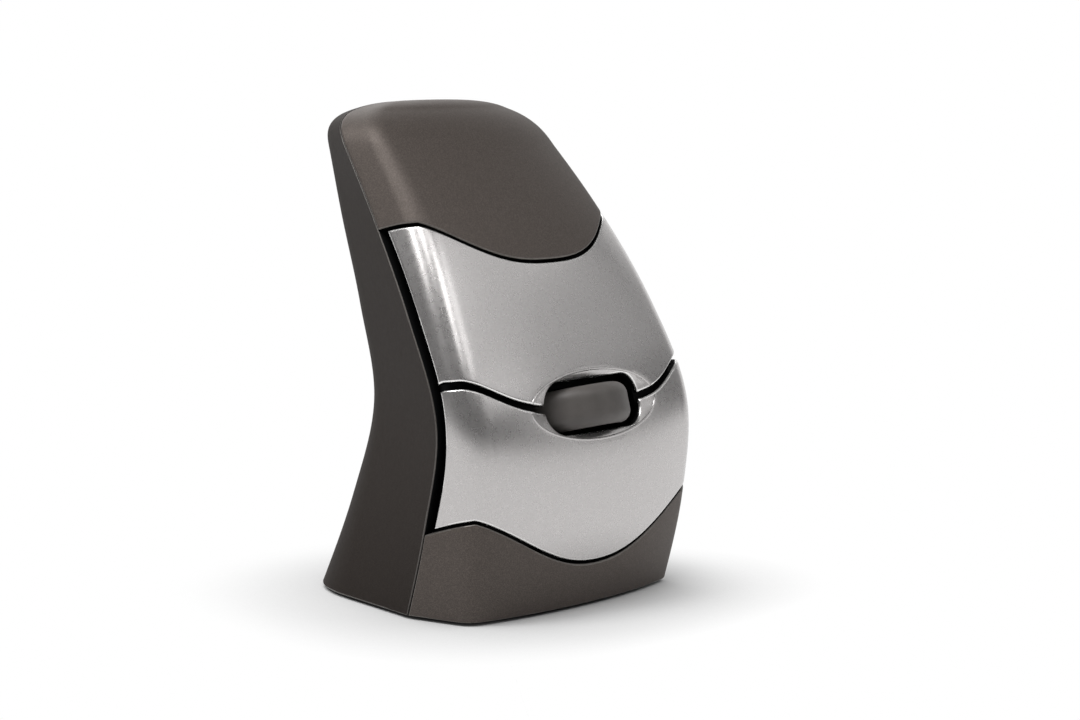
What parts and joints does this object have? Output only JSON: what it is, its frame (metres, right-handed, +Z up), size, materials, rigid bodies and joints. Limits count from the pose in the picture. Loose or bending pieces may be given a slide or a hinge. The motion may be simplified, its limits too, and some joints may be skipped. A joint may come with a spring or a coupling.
{
  "type": "computer mouse",
  "caption": "Upright computer mouse with a sideways scroll wheel, dark shell and silver buttons split by a wavy line.",
  "frame": {"origin": "centre of the footprint's bounding box, on the desk under the glide feet", "axes": "+Z up, -Y towards the buttons and the scroll wheel, +X to the mouse's own left; the outer shells mirror in X = 0"},
  "size_m": [0.0662, 0.0638, 0.0922],
  "materials": {
    "dark_metallic_paint": "metallic-flake paint, satin gloss",
    "dark_soft_paint": "metallic-flake paint, satin",
    "silver_metallic_paint": "silver metallic-flake paint, satin gloss",
    "black_plastic": "moulded, fine texture",
    "wheel_rubber": "smooth soft rubber",
    "white_plastic": "moulded",
    "bright_steel": "plated",
    "circuit_board": "green solder mask",
    "chip_epoxy": "moulded epoxy",
    "clear_plastic": "polished clear",
    "low_friction_pad": "smooth low-friction pad",
    "cell_jacket": null,
    "red_plastic": "moulded",
    "ribbon_cable_jacket": "flat cable jacket"
  },
  "bodies": {
    "housing": {"base_plate": "black_plastic", "base_screw_1": "bright_steel", "base_screw_2": "bright_steel", "base_screw_3": "bright_steel", "base_screw_4": "bright_steel", "battery_cell_1": "cell_jacket", "battery_cell_2": "cell_jacket", "battery_contact": "bright_steel", "battery_door": "black_plastic", "battery_holder": "black_plastic", "battery_spring_1": "bright_steel", "battery_spring_2": "bright_steel", "board_screw_1": "bright_steel", "board_screw_2": "bright_steel", "board_screw_3": "bright_steel", "board_screw_4": "bright_steel", "encoder_emitter": "chip_epoxy", "encoder_receiver": "chip_epoxy", "front_board": "circuit_board", "front_connector": "white_plastic", "front_frame": "black_plastic", "glide_foot_1": "low_friction_pad", "glide_foot_2": "low_friction_pad", "glide_foot_3": "low_friction_pad", "glide_foot_4": "low_friction_pad", "lower_cover": "dark_metallic_paint", "lower_hinge_pin": "bright_steel", "lower_switch": "chip_epoxy", "main_board": "circuit_board", "main_board_screw_1": "bright_steel", "main_board_screw_2": "bright_steel", "main_connector": "white_plastic", "power_switch": "bright_steel", "rear_shell": "dark_soft_paint", "ribbon_cable": "ribbon_cable_jacket", "sensor_chip": "chip_epoxy", "sensor_lens": "clear_plastic", "switch_board": "circuit_board", "switch_board_screw_1": "bright_steel", "switch_board_screw_2": "bright_steel", "upper_cover": "dark_metallic_paint", "upper_hinge_pin": "bright_steel", "upper_switch": "chip_epoxy", "wheel_switch": "chip_epoxy"},
    "upper_key": {"upper_button": "silver_metallic_paint"},
    "lower_key": {"lower_button": "silver_metallic_paint"},
    "wheel_cradle": {"wheel_carrier": "black_plastic"},
    "wheel": {"wheel_hub": "white_plastic", "wheel_tyre": "wheel_rubber", "encoder_disc": "black_plastic"},
    "upper_switch_plunger": {"upper_plunger": "red_plastic"},
    "lower_switch_plunger": {"lower_plunger": "red_plastic"},
    "wheel_switch_plunger": {"wheel_plunger": "red_plastic"},
    "power_knob": {"power_slider": "white_plastic"}
  },
  "joints": [
    {"name": "upper_button_press", "type": "hinge", "parent": "housing", "child": "upper_key", "pos_m": [0, -0.01208, 0.05573], "axis": [1, 0, 0], "range_deg": [0, 1.6], "stiffness_Nm_per_rad": 0.5, "springref_deg": -0.57},
    {"name": "lower_button_press", "type": "hinge", "parent": "housing", "child": "lower_key", "pos_m": [0, -0.02131, 0.014], "axis": [-1, 0, 0], "range_deg": [0, 1.6], "stiffness_Nm_per_rad": 0.5, "springref_deg": -0.57},
    {"name": "wheel_press", "type": "slide", "parent": "housing", "child": "wheel_cradle", "axis": [0, 0.9671, -0.2543], "range_m": [0, 0.0005], "stiffness_N_per_m": 1500, "springref_m": -0.0002},
    {"name": "wheel_spin", "type": "hinge", "parent": "wheel_cradle", "child": "wheel", "pos_m": [0, -0.01958, 0.03531], "axis": [0, 0.2543, 0.9671], "continuous": true},
    {"name": "upper_plunger_slide", "type": "slide", "parent": "housing", "child": "upper_switch_plunger", "axis": [0, 0.9671, -0.2543], "range_m": [0, 0.0003]},
    {"name": "lower_plunger_slide", "type": "slide", "parent": "housing", "child": "lower_switch_plunger", "axis": [0, 0.9671, -0.2543], "range_m": [0, 0.0003]},
    {"name": "wheel_plunger_slide", "type": "slide", "parent": "housing", "child": "wheel_switch_plunger", "axis": [0, 0.9671, -0.2543], "range_m": [0, 0.0006]},
    {"name": "power_slide", "type": "slide", "parent": "housing", "child": "power_knob", "axis": [1, 0, 0], "range_m": [0, 0.002]}
  ],
  "couplings": [
    {"joint": "upper_plunger_slide", "follows": "upper_button_press", "m_per_rad": 0.009},
    {"joint": "lower_plunger_slide", "follows": "lower_button_press", "m_per_rad": 0.0092},
    {"joint": "wheel_plunger_slide", "follows": "wheel_press", "ratio": 1}
  ]
}
